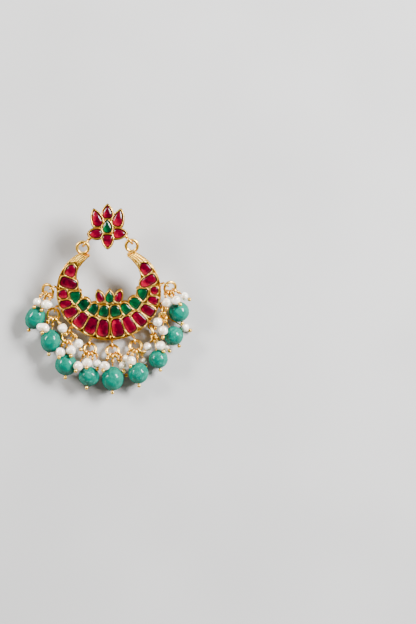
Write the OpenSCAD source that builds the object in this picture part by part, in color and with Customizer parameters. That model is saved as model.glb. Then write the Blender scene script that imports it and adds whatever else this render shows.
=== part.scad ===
// Chandbali earring: a lotus stud, a moon-shaped drop set with kemp stones, and nine jump rings
// that carry teal beads and small pearls. It lies face up. The tip of the post is the origin,
// +Z points out of the face and +Y to the top of the earring.

/* [Stud] */
// Length of the post behind the stud
post_length = 9.5; // [8:0.5:12]
// Diameter of the post
post_diameter = 0.9; // [0.7:0.1:1.2]
// Thickness of the stud's back plate
stud_plate = 0.9; // [0.7:0.1:1.2]
// Height of the stud's cell walls above its back
stud_height = 2.3; // [2:0.1:2.8]
// Thickness of a cell wall
wall = 0.37; // [0.35:0.01:0.5]
// How far the stud's back plate reaches beyond its cell walls
flange = 0.2; // [0.1:0.05:0.4]

/* [Crescent] */
// Slope of the crescent, from the stud's hooks down to the floor
tilt = 15.3; // [12:0.1:18]
// Thickness of the crescent's back plate
moon_plate = 1.2; // [1:0.1:1.5]
// Height of the crescent's cell walls above its back
moon_height = 2.3; // [2:0.1:2.8]
// Height of the small lotus's cell walls above the crescent's back
lotus_height = 2.7; // [2.4:0.1:3.2]

/* [Stones] */
// Clearance between a stone and its cell
stone_gap = 0.1; // [0.1:0.01:0.15]
// How far a stone's table stands above its cell wall
stone_rise = 0.15; // [0:0.05:0.3]
// Share of a stone's outline that its table keeps
table_share = 0.66; // [0.55:0.01:0.8]

/* [Rings and pins] */
// Radius of a jump ring, to the middle of its wire
link_radius = 1.90; // [1.8:0.01:2.1]
// Radius of a jump ring's wire
link_wire = 0.47; // [0.4:0.01:0.5]
// Radius of a rim eye, to the middle of its wire
eye_radius = 0.93; // [0.85:0.01:1]
// Radius of a rim eye's wire
eye_wire = 0.28; // [0.22:0.01:0.3]
// Radius of a head pin's loop, to the middle of its wire
loop_radius = 0.88; // [0.8:0.01:0.95]
// Radius of a head pin's wire
pin_wire = 0.22; // [0.18:0.01:0.25]
// Radius of the ball that ends a head pin
pin_ball = 0.6; // [0.5:0.05:0.7]
// Clearance round a pin in its bead
bore_gap = 0.12; // [0.1:0.01:0.15]

/* [Hidden] */
DROPS = 9;
$fn = 48;

gold = "goldenrod";
ruby = "crimson";
emerald = "seagreen";
teal = "mediumturquoise";
pearl_white = "ivory";
edge_points = 24; // points round a stone's outline
play = 0.05;      // gap under a stone
point_share = 0.25; // how much further a cell's wall reaches at a pointed end
hook_drop = 0.1;  // from the top of the stud's plate down to its hooks' middle
oval_steps = 14;  // steps of a bead's curve from pole to pole

// The stud's stones. turn points along the stone to its head; lean is positive where the head is the
// wider end. head corners and foot corners are 1 for a round end and less for fuller corners, head point
// and foot point are 0 for a blunt end and 1 for a pointed one.
// x, y, turn, length, width, lean, head corners, foot corners, head point, foot point
STUD_RUBIES = [
    [ 0.05,  5.85,   90, 4.25, 3.25, -0.10, 0.85, 0.75, 0.80, 0.00],
    [-3.45,  3.85,  108, 5.55, 3.30, -0.15, 0.90, 0.80, 0.70, 0.10],
    [ 3.50,  3.85,   74, 5.45, 3.35, -0.15, 0.90, 0.80, 0.70, 0.10],
    [-3.72, -1.05,  182, 4.35, 2.95,  0.00, 0.85, 0.80, 0.40, 0.10],
    [ 3.90, -0.98,    2, 4.20, 3.15, -0.10, 0.90, 0.80, 0.60, 0.00],
    [ 0.08, -3.40,  -90, 4.15, 3.45, -0.15, 0.75, 0.65, 0.70, 0.00]];
STUD_EMERALDS = [
    [-0.05,  1.35,   90, 4.50, 3.20,  0.00, 1.00, 0.90, 0.90, 0.00]];

// The crescent's stones go by the angle from its foot, positive to the right, and the distance from
// the middle of its hollow. turn is counted from the outward direction.
// angle, distance, turn, length, width, lean, head corners, foot corners, head point, foot point
MOON_RUBIES = [
    [-114.5, 13.20, -87, 4.15, 3.50, -0.10, 0.75, 0.70, 0.30, 0.00],
    [ -96.5, 12.85, -12, 5.75, 3.50,  0.10, 0.60, 0.65, 0.00, 0.10],
    [ -82.0, 14.80,   0, 3.05, 2.90, -0.10, 0.70, 0.60, 0.10, 0.00],
    [ -69.5, 14.70, -12, 4.10, 2.60,  0.05, 0.70, 0.70, 0.00, 0.20],
    [ -57.2, 14.45, -14, 4.60, 3.35,  0.10, 0.65, 0.70, 0.00, 0.20],
    [ -41.4, 13.65,   3, 5.40, 3.75,  0.15, 0.60, 0.60, 0.00, 0.00],
    [ -24.8, 13.28,   2, 5.75, 3.75,  0.15, 0.65, 0.55, 0.00, 0.00],
    [  -8.3, 13.05,   2, 5.80, 3.85,  0.20, 0.65, 0.55, 0.00, 0.00],
    [  12.0, 13.03,  -2, 5.95, 4.00,  0.20, 0.65, 0.55, 0.00, 0.00],
    [  29.0, 13.43,   0, 5.80, 3.60,  0.15, 0.65, 0.55, 0.00, 0.00],
    [  44.5, 13.95,   1, 5.35, 3.40,  0.05, 0.60, 0.60, 0.00, 0.00],
    [  60.1, 14.42,   0, 4.70, 3.25,  0.10, 0.60, 0.60, 0.00, 0.00],
    [  74.2, 14.70,   0, 3.45, 2.60,  0.15, 0.70, 0.70, 0.00, 0.10],
    [  86.6, 14.65,   0, 2.60, 2.60,  0.00, 0.85, 0.85, 0.00, 0.00],
    [  99.6, 12.78,  20, 5.75, 3.30,  0.10, 0.65, 0.65, 0.00, 0.20],
    [ 118.0, 13.20, 100, 4.15, 3.55, -0.10, 0.75, 0.60, 0.20, 0.00]];
MOON_EMERALDS = [
    [ -73.4, 11.10,  77, 4.10, 3.65, -0.20, 0.85, 0.60, 0.60, 0.00],
    [ -55.9,  9.55,   0, 3.85, 3.50,  0.05, 0.50, 0.85, 0.00, 0.10],
    [ -35.9,  8.30,   0, 3.75, 3.10,  0.10, 0.50, 0.85, 0.00, 0.10],
    [ -11.6,  7.60,   0, 3.80, 3.35,  0.10, 0.45, 0.85, 0.00, 0.10],
    [  15.2,  7.62,   0, 3.80, 3.55,  0.10, 0.45, 0.85, 0.00, 0.10],
    [  39.0,  8.48,   0, 3.85, 3.10,  0.10, 0.50, 0.85, 0.00, 0.10],
    [  59.9,  9.62,   0, 3.80, 3.60,  0.05, 0.50, 0.85, 0.00, 0.10],
    [  78.4, 11.05, -78, 4.10, 3.50, -0.20, 0.85, 0.60, 0.60, 0.00]];

// The small lotus's stones, measured from the middle of the crescent's hollow.
// x, y, turn, length, width, lean, head corners, foot corners, head point, foot point
LOTUS_RUBIES = [
    [-2.85, -2.85, 112, 3.55, 2.45, -0.10, 0.75, 0.60, 0.60, 0.00],
    [ 3.20, -2.80,  68, 3.75, 2.35, -0.10, 0.75, 0.60, 0.60, 0.00]];
LOTUS_EMERALDS = [
    [ 0.30, -2.95,  90, 3.95, 2.80, 0.00, 1.00, 0.85, 0.80, 0.00]];

// The crescent's edges, from above, by the angle from its foot.
// angle, outer distance, inner distance
MOON_EDGE = [
    [  0, 16.65,  4.9], [ 15, 16.70,  5.1], [ 30, 16.70,  5.9], [ 45, 16.85,  7.0],
    [ 60, 17.00,  8.1], [ 75, 16.95,  8.8], [ 90, 16.65,  9.5], [105, 16.20, 10.6],
    [120, 15.50, 11.3], [135, 14.55, 11.5], [150, 13.90, 11.8]];
edge_step = 15;
horn_start = 125;     // where the stones end and the chased horn begins
horn_inner_end = 150; // where the inner edge stops
horn_outer_ends = [140, 145]; // where the outer edge stops, on the left and on the right

// The drops, from left to right. rim is the angle on the rim where the eye is soldered, eye the middle
// of that eye, heading the jump ring's direction from straight down, positive to the right, pitch its
// rise and roll its turn about that direction, 90 for a ring that stands on edge. seat is the place of
// the bead's loop on the jump ring, in degrees from the ring's far side.
// rim, eye x, eye y, heading, pitch, roll, seat, bead x, bead y, bead width, bead length
DROP = [
    [-90.0, -17.80, -18.25, -58.6, -34,  0,  33, -23.35, -27.85, 6.1, 7.7],
    [-68.8, -16.85, -25.05, -20.0, -18,  0,  15, -18.42, -35.25, 6.3, 7.4],
    [-44.6, -12.45, -32.15, -15.0,   5,  0,  10, -13.45, -42.90, 7.0, 6.9],
    [-20.6,  -5.90, -36.15,   3.0,  22,  0,  18,  -6.05, -46.60, 6.7, 6.2],
    [  2.8,   1.40, -36.70,   3.0,  18,  0,  -2,   1.50, -47.35, 7.0, 7.7],
    [ 26.5,   8.60, -35.25,  10.0,  15,  0,   0,   9.75, -45.60, 6.4, 6.8],
    [ 47.5,  13.85, -30.50,  16.0,   5, 90,  18,  16.15, -41.10, 6.1, 6.0],
    [ 70.6,  17.50, -24.05,   7.0, -20, 90,  12,  21.10, -33.65, 6.1, 6.1],
    [ 94.1,  18.65, -17.25,  52.0, -30,  0, -22,  22.75, -25.95, 6.5, 6.5]];

// The pearls. drop is the ring that one hangs on, seat the place of its pin's loop on that ring in
// degrees from the ring's far side, and z the height of the pearl's middle above the floor.
// drop, seat, x, y, z, width, length
PEARL = [
    [1,   92, -19.85, -23.65, 6.0, 2.9, 3.1],
    [1,    0, -22.60, -22.80, 5.1, 2.7, 2.7],
    [2,  -20, -20.20, -31.20, 6.3, 3.1, 3.0],
    [2,   56, -14.55, -31.25, 4.3, 3.1, 3.1],
    [3,  -22, -15.15, -38.95, 6.3, 3.1, 3.1],
    [3,   42, -11.75, -38.35, 5.1, 3.2, 3.2],
    [3,  120,  -9.35, -36.15, 3.7, 2.9, 2.9],
    [4,  -46,  -9.45, -43.35, 6.6, 3.0, 3.0],
    [4,  -14,  -6.55, -42.35, 5.6, 3.2, 3.0],
    [4,   50,  -3.42, -42.60, 4.4, 2.8, 2.5],
    [5,  -34,  -0.95, -43.30, 5.9, 3.1, 3.0],
    [5,   62,   4.70, -43.25, 3.6, 2.5, 2.5],
    [5,   30,   4.95, -44.70, 1.3, 2.4, 2.4],
    [6,  -32,   7.50, -41.70, 5.2, 3.1, 3.1],
    [6,  -64,   5.65, -40.95, 1.6, 2.5, 2.5],
    [6,   32,  11.52, -41.65, 1.4, 2.3, 2.3],
    [7,  -16,  12.75, -37.15, 3.0, 2.7, 2.7],
    [7,   54,  16.85, -36.80, 5.3, 3.2, 2.9],
    [7,  -50,  18.60, -37.25, 2.5, 2.3, 2.3],
    [8,  100,  15.95, -29.22, 4.85, 3.0, 3.0],
    [8,   46,  17.75, -32.00, 5.9, 3.0, 3.0],
    [8,  -22,  24.70, -30.95, 1.3, 2.6, 2.6],
    [9,  -90,  18.75, -23.00, 6.8, 2.9, 2.9],
    [9,  -54,  21.80, -22.30, 6.4, 3.2, 2.8],
    [9,   12,  24.55, -20.90, 4.6, 2.5, 2.5]];

// Worked out from the sizes above
moon_centre = [0.35, -18.35];       // middle of the crescent's hollow, from above
hinge_y = -3.6;                     // line through the two hooks
hook_z = post_length + stud_plate - hook_drop;
moon_drop = (hinge_y - moon_centre[1]) * tan(tilt);
moon_z = hook_z - moon_drop - moon_plate / 2 / cos(tilt);
stud_seat = 0.9;                    // floor of the stud's cells above its back
moon_seat = 1.1;                    // floor of the crescent's cells above its back
lotus_back = 0.8;                   // back of the small lotus above the crescent's back
lotus_seat = 1.5;
top_ring_radius = 1.85;
top_ring_wire = 0.5;
hook_radius = 1.25;
hook_wire = 0.41;
hook_stem = 0.46;
// x, y of the middle of each hook's loop, and of the stud's wall that it is soldered to
HOOKS = [[-6.85, -3.95, -5.36, -2.18], [7.07, -3.20, 5.68, -1.60]];
// x, y of the middle of each top ring, and of the two ends of the collar across the horn under it
TOP_RINGS = [[-7.87, -5.50, -8.90, -7.75, -5.90, -7.90], [7.78, -4.85, 6.40, -7.65, 9.05, -6.50]];
collar_wire = 0.55;
collar_rise = 0.2;  // how far the collar's middle stands above the top ring's
eye_bite = 0.5;     // how far a rim eye's stem runs into the plate
eye_stem = 0.33;    // radius of that stem
wrap_start = 0.38;  // from a pin's loop to the first wrap of its neck
wrap_step = 0.34;
wrap_radius = 0.24;
wrap_wire = 0.2;
wraps = 2;
neck_start = 0.18;  // radius of the neck where it leaves the loop
ball_step = 20;     // degrees between two rings of facets on a pin's ball
ball_gap = 0.06;     // between a bead and the ball that holds it
bore_lip = 0.06;    // width of the flat round a bead's hole
floor_gap = 0.02;   // between a lying bead and the floor
girdle_depth = 0.3; // from the top of a cell wall down to its stone's girdle

function cut(v, a, b) = v < a ? a : v > b ? b : v;
function unit(v) = v / norm(v);

// Outline of one stone, length and width grown by grow on each side.
function stone_shape(row, grow) =
    let(lean = row[5], head = row[8], foot = row[9],
        raw = [for (i = [0:edge_points - 1])
            let(t = 360 * i / edge_points, c = cos(t), s = sin(t), corners = c > 0 ? row[6] : row[7])
            [sign(c) * pow(abs(c), corners),
             sign(s) * pow(abs(s), corners) * (1 + lean * c)
             * pow(abs(sin(t / 2)), head) * pow(abs(cos(t / 2)), foot)]],
        widest = max([for (p = raw) abs(p[1])]),
        half_length = row[3] / 2 + grow * (1 + point_share * (head + foot)),
        half_width = row[4] / 2 + grow)
    [for (p = raw) [p[0] * half_length, p[1] / widest * half_width]];

function placed(points, at, turn) =
    [for (p = points) [at[0] + p[0] * cos(turn) - p[1] * sin(turn),
                       at[1] + p[0] * sin(turn) + p[1] * cos(turn)]];

// The crescent is drawn as seen from above. laid gives the outline on its slope, for a height above its
// back.
function laid(points, height) = [for (p = points) [p[0], (p[1] + height * sin(tilt)) / cos(tilt)]];

function flat_outline(row, grow) = placed(stone_shape(row, grow), [row[0], row[1]], row[2]);
function polar(angle, distance) = [distance * sin(angle), -distance * cos(angle)];
function moon_outline(row, grow) =
    laid(placed(stone_shape(row, grow), polar(row[0], row[1]), row[0] - 90 + row[2]), moon_height);
function lotus_outline(row, grow) = laid(flat_outline(row, grow), lotus_height);

// Smooth curve through the rows of the crescent's edge, column 1 outer and 2 inner.
function edge_row(i) = MOON_EDGE[cut(abs(i), 0, len(MOON_EDGE) - 1)];
function edge_at(angle, column) =
    let(i = floor(abs(angle) / edge_step), t = abs(angle) / edge_step - i,
        a = edge_row(i - 1)[column], b = edge_row(i)[column],
        c = edge_row(i + 1)[column], d = edge_row(i + 2)[column])
    0.5 * (2 * b + (c - a) * t + (2 * a - 5 * b + 4 * c - d) * t * t
        + (3 * b - a - 3 * c + d) * t * t * t);
edge_angle = 5;
horn_margin = 0.25; // how far the raised horn stays inside the plate's edge

// Band of the crescent, its edges drawn in by margin, from one angle to an outer and an inner end.
function moon_band(outer_from, outer_to, inner_from, inner_to, margin) = laid(concat(
    [for (a = [outer_from:edge_angle:outer_to]) polar(a, edge_at(a, 1) - margin)],
    [for (a = [inner_to:-edge_angle:inner_from]) polar(a, edge_at(a, 2) + margin)]), moon_plate);

// Bodies

// Solid with a girdle, a sloping bezel edge and a flat table, over an outline.
module stone(outline, table, low, girdle, high) {
    n = len(outline);
    polyhedron(
        points = concat(
            [for (p = outline) [p[0], p[1], low]],
            [for (p = outline) [p[0], p[1], girdle]],
            [for (p = table) [p[0], p[1], high]]),
        faces = concat(
            [[for (i = [0:n - 1]) i]],
            [for (k = [0:1], i = [0:n - 1])
                [k * n + i, (k + 1) * n + i, (k + 1) * n + (i + 1) % n, k * n + (i + 1) % n]],
            [[for (i = [n - 1:-1:0]) 2 * n + i]]));
}

// A stone's table has the stone's own outline, drawn in round its middle.
function table_of(outline) =
    let(middle = [for (c = [0, 1]) (min([for (p = outline) p[c]]) + max([for (p = outline) p[c]])) / 2])
    [for (p = outline) middle + (p - middle) * table_share];

module set_stone(outline, seat, top) {
    stone(outline, table_of(outline), seat + play, top - girdle_depth, top + stone_rise);
}

module on_crescent() {
    translate([moon_centre[0], moon_centre[1], moon_z]) rotate([tilt, 0, 0]) children();
}

module torus(radius, wire) {
    rotate_extrude() translate([radius, 0]) circle(r = wire, $fn = 24);
}

module rod(from, to, r) {
    d = to - from;
    translate(from) rotate([0, acos(d[2] / norm(d)), atan2(d[1], d[0])]) cylinder(r = r, h = norm(d), $fn = 24);
}

// Puts children's x, y and z axes along three unit vectors, at a place.
module aligned(at, x, y, z) {
    multmatrix([[x[0], y[0], z[0], at[0]],
                [x[1], y[1], z[1], at[1]],
                [x[2], y[2], z[2], at[2]]]) children();
}

// The stud

module hook(row) {
    middle = [row[0], row[1], hook_z];
    out = unit([row[0] - row[2], row[1] - row[3], 0]);
    aligned(middle, out, [0, 0, 1], cross(out, [0, 0, 1])) torus(hook_radius, hook_wire);
    rod([row[2], row[3], hook_z], middle - out * (hook_radius + hook_wire / 2), hook_stem);
}

module stud_setting() color(gold) {
    stones = concat(STUD_RUBIES, STUD_EMERALDS);
    difference() {
        translate([0, 0, post_length]) {
            linear_extrude(stud_height) union() for (row = stones) polygon(flat_outline(row, wall));
            linear_extrude(stud_plate) union() for (row = stones) polygon(flat_outline(row, wall + flange));
        }
        translate([0, 0, post_length + stud_seat]) linear_extrude(stud_height)
            union() for (row = stones) polygon(flat_outline(row, 0));
    }
    cylinder(d = post_diameter, h = post_length + stud_plate / 2);
    for (row = HOOKS) hook(row);
}

module stud_rubies() color(ruby) translate([0, 0, post_length])
    for (row = STUD_RUBIES) set_stone(flat_outline(row, -stone_gap), stud_seat, stud_height);

module stud_emerald() color(emerald) translate([0, 0, post_length])
    for (row = STUD_EMERALDS) set_stone(flat_outline(row, -stone_gap), stud_seat, stud_height);

// The crescent

module top_ring(row) {
    on_plate = laid([for (i = [0, 2, 4]) [row[i] - moon_centre[0], row[i + 1] - moon_centre[1]]], moon_plate / 2);
    translate([on_plate[0][0], on_plate[0][1], moon_plate / 2]) torus(top_ring_radius, top_ring_wire);
    collar = [for (i = [1, 2]) [on_plate[i][0], on_plate[i][1], moon_plate / 2 + collar_rise]];
    rod(collar[0], collar[1], collar_wire);
}

module moon_setting() {
    cells = concat([for (row = MOON_RUBIES) moon_outline(row, 0)],
                   [for (row = MOON_EMERALDS) moon_outline(row, 0)]);
    walls = concat([for (row = MOON_RUBIES) moon_outline(row, wall)],
                   [for (row = MOON_EMERALDS) moon_outline(row, wall)]);
    lotus = concat(LOTUS_RUBIES, LOTUS_EMERALDS);
    difference() {
        union() {
            linear_extrude(moon_plate)
                polygon(moon_band(-horn_outer_ends[0], horn_outer_ends[1], -horn_inner_end, horn_inner_end, 0));
            linear_extrude(moon_height) union() {
                for (points = walls) polygon(points);
                polygon(moon_band(-horn_outer_ends[0], -horn_start, -horn_inner_end, -horn_start, horn_margin));
                polygon(moon_band(horn_start, horn_outer_ends[1], horn_start, horn_inner_end, horn_margin));
            }
        }
        translate([0, 0, moon_seat]) linear_extrude(moon_height) union() for (points = cells) polygon(points);
    }
    difference() {
        translate([0, 0, lotus_back]) linear_extrude(lotus_height - lotus_back)
            union() for (row = lotus) polygon(lotus_outline(row, wall));
        translate([0, 0, lotus_seat]) linear_extrude(lotus_height)
            union() for (row = lotus) polygon(lotus_outline(row, 0));
    }
}

// Middle of a drop's rim eye, in the plane of the crescent's plate.
function slope_z(y) = hook_z + (y - hinge_y) * tan(tilt);
function eye(drop) = [drop[1], drop[2], slope_z(drop[2])];
function rim_foot(drop) =
    let(p = moon_centre + polar(drop[0], edge_at(drop[0], 1) - eye_bite)) [p[0], p[1], slope_z(p[1])];

// A jump ring's own directions: along it, across it and square to it.
function ring_along(drop) = let(h = drop[3], p = drop[4]) [sin(h) * cos(p), -cos(h) * cos(p), sin(p)];
function ring_level(drop) = let(h = drop[3]) [cos(h), sin(h), 0];
function ring_across(drop) =
    let(u = ring_along(drop), v = ring_level(drop), w = cross(u, v), r = drop[5])
    v * cos(r) + w * sin(r);
function ring_square(drop) = cross(ring_along(drop), ring_across(drop));
function ring_middle(drop) = eye(drop) + ring_along(drop) * link_radius;

module rim_eye(drop) {
    out = ring_along(drop);
    aligned(eye(drop), out, ring_square(drop), cross(out, ring_square(drop))) torus(eye_radius, eye_wire);
    rod(rim_foot(drop), eye(drop) - out * (eye_radius + eye_wire / 2), eye_stem);
}

module crescent_setting() color(gold) {
    on_crescent() {
        moon_setting();
        for (row = TOP_RINGS) top_ring(row);
    }
    for (drop = DROP) rim_eye(drop);
}

module crescent_rubies() color(ruby) on_crescent()
    for (row = MOON_RUBIES) set_stone(moon_outline(row, -stone_gap), moon_seat, moon_height);

module crescent_emeralds() color(emerald) on_crescent()
    for (row = MOON_EMERALDS) set_stone(moon_outline(row, -stone_gap), moon_seat, moon_height);

module lotus_rubies() color(ruby) on_crescent()
    for (row = LOTUS_RUBIES) set_stone(lotus_outline(row, -stone_gap), lotus_seat, lotus_height);

module lotus_emerald() color(emerald) on_crescent()
    for (row = LOTUS_EMERALDS) set_stone(lotus_outline(row, -stone_gap), lotus_seat, lotus_height);

// The drops

module jump_ring(drop) color(gold)
    aligned(ring_middle(drop), ring_along(drop), ring_across(drop), ring_square(drop))
        torus(link_radius, link_wire);

// Place on a jump ring's wire, and the wire's direction there, at an angle from the bead's loop.
function seat_place(drop, seat) = ring_middle(drop)
    + link_radius * (cos(seat) * ring_along(drop) + sin(seat) * ring_across(drop));
function seat_wire(drop, seat) = cos(seat) * ring_across(drop) - sin(seat) * ring_along(drop);

// A bead lies on the floor, so its middle is as high as its tilted oval is deep.
function bead_middle(drop) =
    let(r = drop[9] / 2, half = drop[10] / 2, loop = seat_place(drop, drop[6]),
        run = norm([drop[7] - loop[0], drop[8] - loop[1]]), rise = atan((r - loop[2]) / run))
    [drop[7], drop[8], sqrt(pow(r * cos(rise), 2) + pow(half * sin(rise), 2)) + floor_gap];

// Oval bead of revolution about x, with a straight hole for its pin.
module oval(r, half, hole) {
    start = asin((hole + bore_lip) / r);
    rotate([0, 90, 0]) rotate_extrude()
        polygon(concat([[hole, -half * cos(start)]],
                       [for (i = [0:oval_steps]) let(t = start + (180 - 2 * start) * i / oval_steps)
                           [r * sin(t), -half * cos(t)]],
                       [[hole, half * cos(start)]]));
}

// Where a pin leaves its loop: the point of the loop that is nearest to the bead. The loop goes round
// the ring's wire at a right angle, and the pin bends to its bead there.
function loop_exit(drop, seat, middle) =
    let(place = seat_place(drop, seat), wire = seat_wire(drop, seat), d = middle - place)
    place + loop_radius * unit(d - (d * wire) * wire);

// Puts children's x axis along the line from a point to a middle, and their origin at either one.
module on_line(from, middle, at_start = false) {
    along = unit(middle - from);
    side = unit(cross([0, 0, 1], along));
    aligned(at_start ? from : middle, along, side, cross(along, side)) children();
}

// Half section of a head pin beyond its loop: the neck's wraps, the shank and the ball at its end.
function pin_section(reach) = concat(
    [[0, 0], [neck_start, 0]],
    [for (turn = [0:wraps - 1], t = [-60:30:60])
        [wrap_radius + wrap_wire * cos(t), wrap_start + turn * wrap_step + wrap_wire * sin(t)]],
    [[pin_wire, wrap_start + (wraps - 1) * wrap_step + wrap_wire]],
    [for (t = [180 - asin(pin_wire / pin_ball):-ball_step:0]) [pin_ball * sin(t), reach + pin_ball * cos(t)]],
    [[0, reach + pin_ball]]);

// Head pin: a loop round the jump ring, two wraps of wire, the shank, and a ball behind the bead.
module head_pin(drop, seat, middle, half) {
    from = loop_exit(drop, seat, middle);
    reach = norm(middle - from) + half + pin_ball + ball_gap;
    outward = unit(from - seat_place(drop, seat));
    wire = seat_wire(drop, seat);
    aligned(seat_place(drop, seat), outward, cross(wire, outward), wire) torus(loop_radius, pin_wire);
    on_line(from, middle, true) rotate([0, 90, 0]) rotate_extrude() polygon(pin_section(reach));
}

module bead(drop) color(teal)
    on_line(loop_exit(drop, drop[6], bead_middle(drop)), bead_middle(drop))
        oval(drop[9] / 2, drop[10] / 2, pin_wire + bore_gap);

module bead_pin(drop) color(gold) head_pin(drop, drop[6], bead_middle(drop), drop[10] / 2);

function pearls_on(i) = [for (row = PEARL) if (row[0] == i) row];
function pearl_middle(row) = [row[2], row[3], row[4]];

module pearls(i) color(pearl_white) for (row = pearls_on(i))
    on_line(loop_exit(DROP[i - 1], row[1], pearl_middle(row)), pearl_middle(row))
        oval(row[5] / 2, row[6] / 2, pin_wire + bore_gap);

module pearl_pins(i) color(gold) for (row = pearls_on(i))
    head_pin(DROP[i - 1], row[1], pearl_middle(row), row[6] / 2);

stud_setting();
stud_rubies();
stud_emerald();
crescent_setting();
crescent_rubies();
crescent_emeralds();
lotus_rubies();
lotus_emerald();
for (i = [1:DROPS]) jump_ring(DROP[i - 1]);
for (i = [1:DROPS]) bead(DROP[i - 1]);
for (i = [1:DROPS]) bead_pin(DROP[i - 1]);
for (i = [1:DROPS]) pearls(i);
for (i = [1:DROPS]) pearl_pins(i);
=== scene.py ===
# %% [markdown]
# Chandbali earring
#
# A chandbali is an earring in the shape of a moon. This one has a lotus stud, a moon-shaped drop set with
# foil-backed glass, and nine jump rings that carry teal beads and small pearls. The CAD model already has
# every piece at its real size, so this file only dresses it. The earring lies face up on a pale floor, as it
# would by itself, and is seen from straight above.

# %% Load the frame
import bpy, bmesh, math
from mathutils import Matrix, Vector, noise
from mathutils.kdtree import KDTree


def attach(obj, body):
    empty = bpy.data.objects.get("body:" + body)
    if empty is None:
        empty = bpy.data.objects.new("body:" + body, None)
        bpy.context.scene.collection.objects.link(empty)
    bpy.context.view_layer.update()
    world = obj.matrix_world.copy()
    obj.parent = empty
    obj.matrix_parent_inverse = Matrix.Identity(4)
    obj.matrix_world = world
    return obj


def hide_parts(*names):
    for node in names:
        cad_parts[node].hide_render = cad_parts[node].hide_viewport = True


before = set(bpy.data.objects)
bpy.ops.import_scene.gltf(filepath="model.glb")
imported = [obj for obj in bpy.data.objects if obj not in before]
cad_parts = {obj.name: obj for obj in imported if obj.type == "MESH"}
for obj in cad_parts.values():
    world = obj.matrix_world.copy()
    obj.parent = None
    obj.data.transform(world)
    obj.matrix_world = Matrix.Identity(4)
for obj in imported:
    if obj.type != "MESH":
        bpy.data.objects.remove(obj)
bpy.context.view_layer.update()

MM = 0.001

# %% [markdown]
# The stud stands level on its post. The crescent hangs on the stud's two hooks and its foot lies on the
# floor, so it is on a slope. Working out every point in the sloping place would be hard, so each setting is
# drawn flat, as a goldsmith would draw it, and one matrix takes the drawing to its place. The sizes are those
# of the part's source, in millimetres, so that everything fits.

# %% Places of the two settings
TILT = math.radians(15.3)
HOOK_Z, HINGE_Y = 10.3, -3.6
POST_LENGTH, MOON_PLATE = 9.5, 1.2
MOON_CENTRE = Vector((0.35, -18.35, 0))

moon_z = HOOK_Z - (HINGE_Y - MOON_CENTRE.y) * math.tan(TILT) - MOON_PLATE / 2 / math.cos(TILT)
to_slope = Matrix.Translation((MOON_CENTRE.x, MOON_CENTRE.y, moon_z)) @ Matrix.Rotation(TILT, 4, "X")
to_stud = Matrix.Translation((0, 0, POST_LENGTH))
print("height of the crescent's back at its middle", round(moon_z, 3))

# %% [markdown]
# Every new piece ends in the same way: double vertices are merged, the faces are turned outwards, and
# millimetres become metres. Doing this in one function keeps it from being forgotten. The object stays at the
# origin, with its place in its mesh, so that patterns on Object coordinates don't slide.

# %% A finished piece
WELD = 1e-4


def piece(name, bm, material, slot, replaced=()):
    """Turns a drawing in millimetres into an object that rides on the root."""
    bmesh.ops.remove_doubles(bm, verts=bm.verts, dist=WELD)
    bmesh.ops.recalc_face_normals(bm, faces=bm.faces)
    bmesh.ops.scale(bm, vec=(MM, MM, MM), verts=bm.verts)
    for face in bm.faces:
        face.smooth = True
    mesh = bpy.data.meshes.new(name)
    bm.to_mesh(mesh)
    bm.free()
    obj = bpy.data.objects.new(name, mesh)
    bpy.context.scene.collection.objects.link(obj)
    mesh.materials.append(material)
    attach(obj, "root")
    if replaced:
        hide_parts(*replaced)
    print(name, len(mesh.polygons), "faces")
    return obj


print("vertices closer than", WELD, "mm are merged")

# %% [markdown]
# A finish on real metal, glass or stone is never one flat colour. In Blender it could be painted or be a
# picture, but a small graph of nodes works at every size and needs no file. Drawing such a graph by hand in
# code is long, so it is written as sums. A Socket stands for one output of a node: adding or multiplying
# sockets makes Math nodes, ramp turns a range of values into 0 to 1, and mix blends two colours.

# %% Shader sums
class Socket:
    """One output of a node, which can be added to and multiplied as a number can."""

    def __init__(self, tree, out):
        self.tree, self.out = tree, out

    def math(self, operation, *others, swap=False):
        values = [*others, self] if swap else [self, *others]
        return make(self.tree, "ShaderNodeMath", dict(enumerate(values)), operation=operation)

    def __add__(self, other):
        return self.math("ADD", other)

    def __sub__(self, other):
        return self.math("SUBTRACT", other)

    def __rsub__(self, other):
        return self.math("SUBTRACT", other, swap=True)

    def __mul__(self, other):
        return self.math("MULTIPLY", other)

    def __truediv__(self, other):
        return self.math("DIVIDE", other)

    def __rtruediv__(self, other):
        return self.math("DIVIDE", other, swap=True)

    __radd__ = __add__
    __rmul__ = __mul__

    def ramp(self, zero, one):
        """0 at the first value, 1 at the second, and smooth between them."""
        return make(self.tree, "ShaderNodeMapRange", {"Value": self, "From Min": zero, "From Max": one},
                    interpolation_type="SMOOTHSTEP")

    def mix(self, a, b):
        """Colour a where this is 0 and b where it is 1."""
        return make(self.tree, "ShaderNodeMix", {0: self, 6: a, 7: b}, output=2, data_type="RGBA")


print("a socket can:", *(name.strip("_") for name, part in vars(Socket).items() if callable(part)))

# %% [markdown]
# A node has settings, such as which sum it does, and inputs, which take a value or a link. Some inputs only
# appear once a setting is made, so the settings come first. One function makes every kind of node, because
# a function for each kind would say the same thing many times.

# %% Nodes
def make(tree, kind, inputs=None, output=0, **settings):
    """Adds a node: its settings first, then the values or sockets of its inputs."""
    node = tree.nodes.new(kind)
    for name, value in settings.items():
        setattr(node, name, value)
    for name, value in (inputs or {}).items():
        plug(tree, node.inputs[name], value)
    return Socket(tree, node.outputs[output])


def plug(tree, socket, value):
    """Links a socket to an input, or sets the input to a value."""
    if isinstance(value, Socket):
        tree.links.new(value.out, socket)
    else:
        socket.default_value = value


print("shader nodes to choose from", sum(kind.startswith("ShaderNode") for kind in dir(bpy.types)))

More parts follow.
